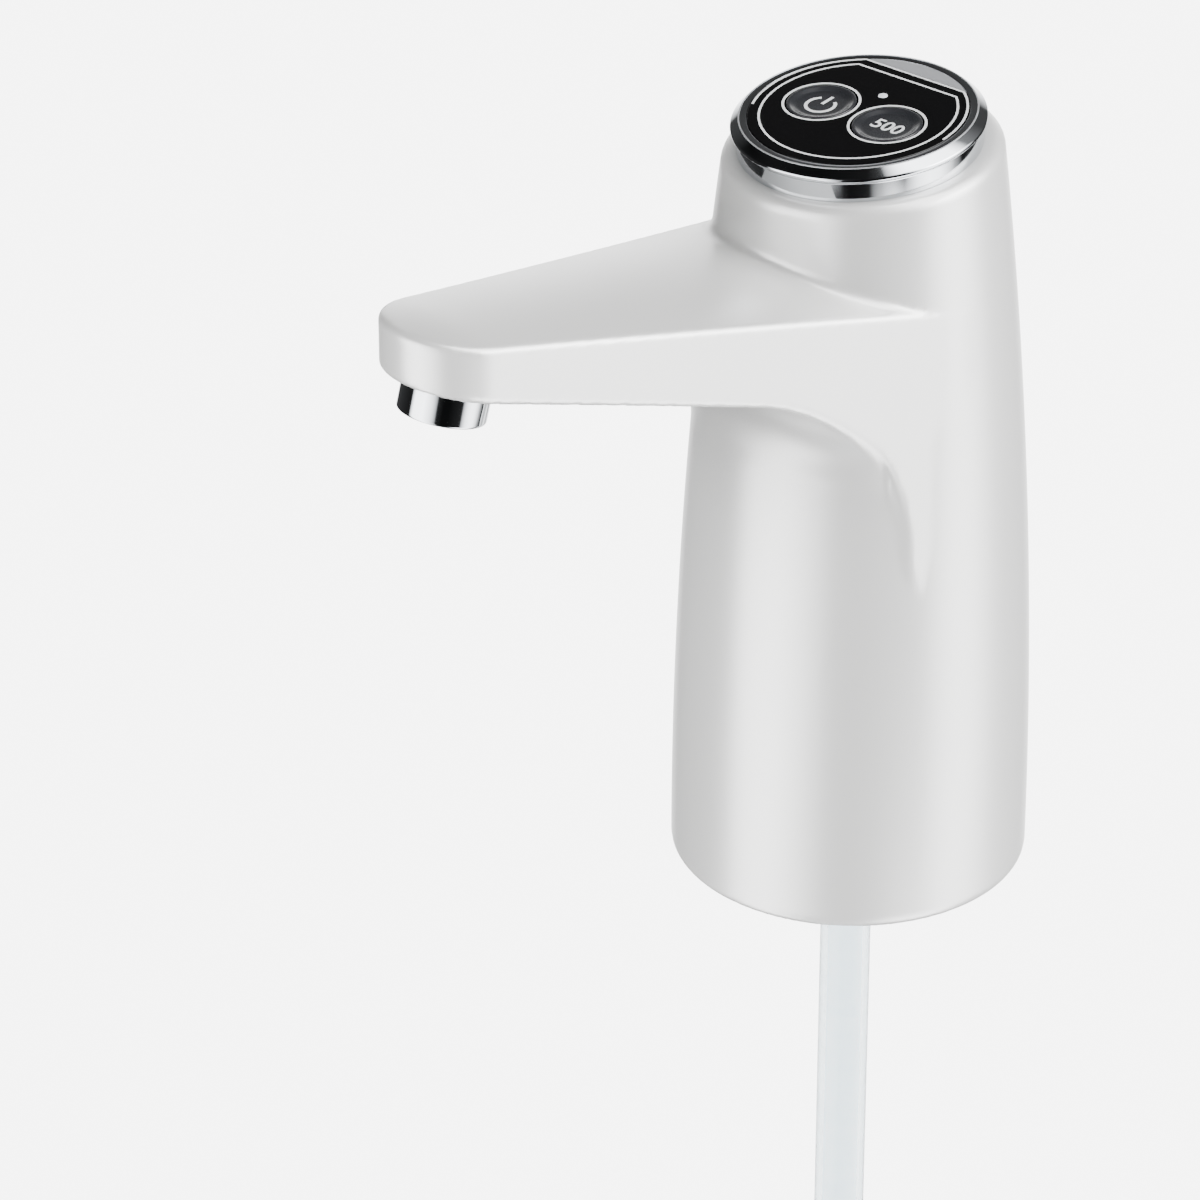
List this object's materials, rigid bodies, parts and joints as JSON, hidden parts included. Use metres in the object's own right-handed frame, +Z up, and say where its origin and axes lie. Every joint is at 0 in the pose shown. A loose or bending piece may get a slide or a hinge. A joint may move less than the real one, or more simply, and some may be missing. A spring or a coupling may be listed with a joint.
{
  "type": "electric water jug pump",
  "caption": "White electric water jug pump with a rising spout arm, chrome bezel, dark button panel and a clear suction hose.",
  "frame": {"origin": "centre of the base rim plane, where the jug neck enters the socket", "axes": "+Z up along the column, -Y toward the spout, +X across the arm"},
  "size_m": [0.1313, 0.1559, 0.4357],
  "materials": {
    "white_shell": "satin gloss",
    "white_plastic": "satin",
    "chrome": "polished",
    "panel_gloss": "gloss",
    "button_dark": "gloss",
    "lens_clear": "gloss",
    "black_rubber": "matte",
    "clear_silicone": "satin",
    "black_plastic": "satin",
    "pump_plastic": "satin",
    "steel": "satin",
    "magnet": "matte",
    "brass_tab": "satin",
    "circuit_board": "satin",
    "cell_wrap": "satin"
  },
  "bodies": {
    "housing": {"body_shell": "white_shell", "neck_socket": "white_plastic", "inner_frame": "white_plastic", "inlet_fitting": "white_plastic", "spout_elbow": "white_plastic", "nozzle_insert": "white_plastic", "bezel_ring": "chrome", "nozzle": "chrome", "control_panel": "panel_gloss", "indicator_lens": "lens_clear", "status_led": "lens_clear", "neck_gasket": "black_rubber", "shaft_seal": "black_rubber", "nozzle_seal": "black_rubber", "suction_hose": "clear_silicone", "outlet_tube": "clear_silicone", "retaining_ring": "black_plastic", "tact_switches": "black_plastic", "battery_cradle": "black_plastic", "motor_end_cap": "black_plastic", "pump_body": "pump_plastic", "pump_cover": "pump_plastic", "base_screws": "steel", "board_screws": "steel", "pump_screws": "steel", "idler_pin": "steel", "motor_can": "steel", "charge_port": "steel", "motor_magnets": "magnet", "motor_terminals": "brass_tab", "control_board": "circuit_board", "charge_board": "circuit_board", "battery_cell": "cell_wrap"},
    "power_key": {"power_button": "button_dark", "power_plunger": "white_plastic"},
    "volume_key": {"volume_button": "button_dark", "volume_plunger": "white_plastic"},
    "rotor": {"motor_rotor": "steel", "drive_gear": "pump_plastic"},
    "idler": {"driven_gear": "pump_plastic"}
  },
  "joints": [
    {"name": "power_press", "type": "slide", "parent": "housing", "child": "power_key", "axis": [0, 0.1011, -0.9949], "range_m": [0, 0.0005], "stiffness_N_per_m": 600},
    {"name": "volume_press", "type": "slide", "parent": "housing", "child": "volume_key", "axis": [0, 0.1011, -0.9949], "range_m": [0, 0.0005], "stiffness_N_per_m": 600},
    {"name": "motor_spin", "type": "hinge", "parent": "housing", "child": "rotor", "pos_m": [0.006, -0.005, 0.05], "axis": [0, 0, 1], "continuous": true},
    {"name": "idler_spin", "type": "hinge", "parent": "housing", "child": "idler", "pos_m": [-0.006, -0.005, 0.036], "axis": [0, 0, 1], "continuous": true}
  ],
  "couplings": [
    {"joint": "idler_spin", "follows": "motor_spin", "ratio": -1}
  ]
}
